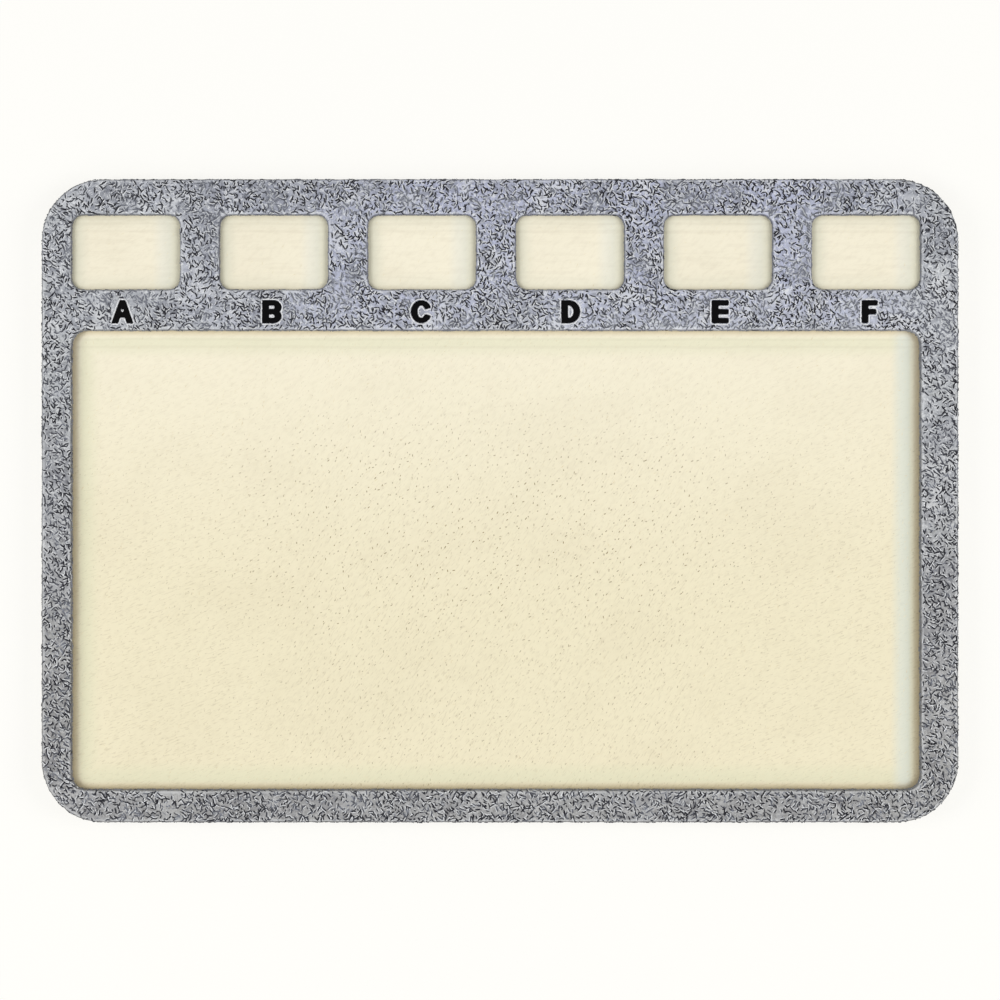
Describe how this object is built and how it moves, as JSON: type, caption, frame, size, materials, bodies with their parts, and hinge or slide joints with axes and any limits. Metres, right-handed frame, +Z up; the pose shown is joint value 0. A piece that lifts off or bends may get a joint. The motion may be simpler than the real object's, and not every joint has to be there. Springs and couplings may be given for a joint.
{
  "type": "bead mat",
  "caption": "Flat felt bead mat with a row of small lettered sorting bays above one large soft work area that keeps beads from rolling.",
  "frame": {"origin": "middle of the underside, on the surface that the mat lies on", "axes": "+X along the row of letters in reading direction, +Y from the work area to the sorting bays, +Z up out of the felt"},
  "size_m": [0.3, 0.2106, 0.0077],
  "materials": {
    "grey_felt": "matte",
    "cream_plush": "matte",
    "glue_film": "satin",
    "black_film": "matte"
  },
  "bodies": {
    "root": {"base_felt": "grey_felt", "base_glue": "glue_film", "bead_pad": "cream_plush", "frame_glue": "glue_film", "felt_frame": "grey_felt", "letter_a": "black_film", "letter_b": "black_film", "letter_c": "black_film", "letter_d": "black_film", "letter_e": "black_film", "letter_f": "black_film"}
  },
  "joints": []
}
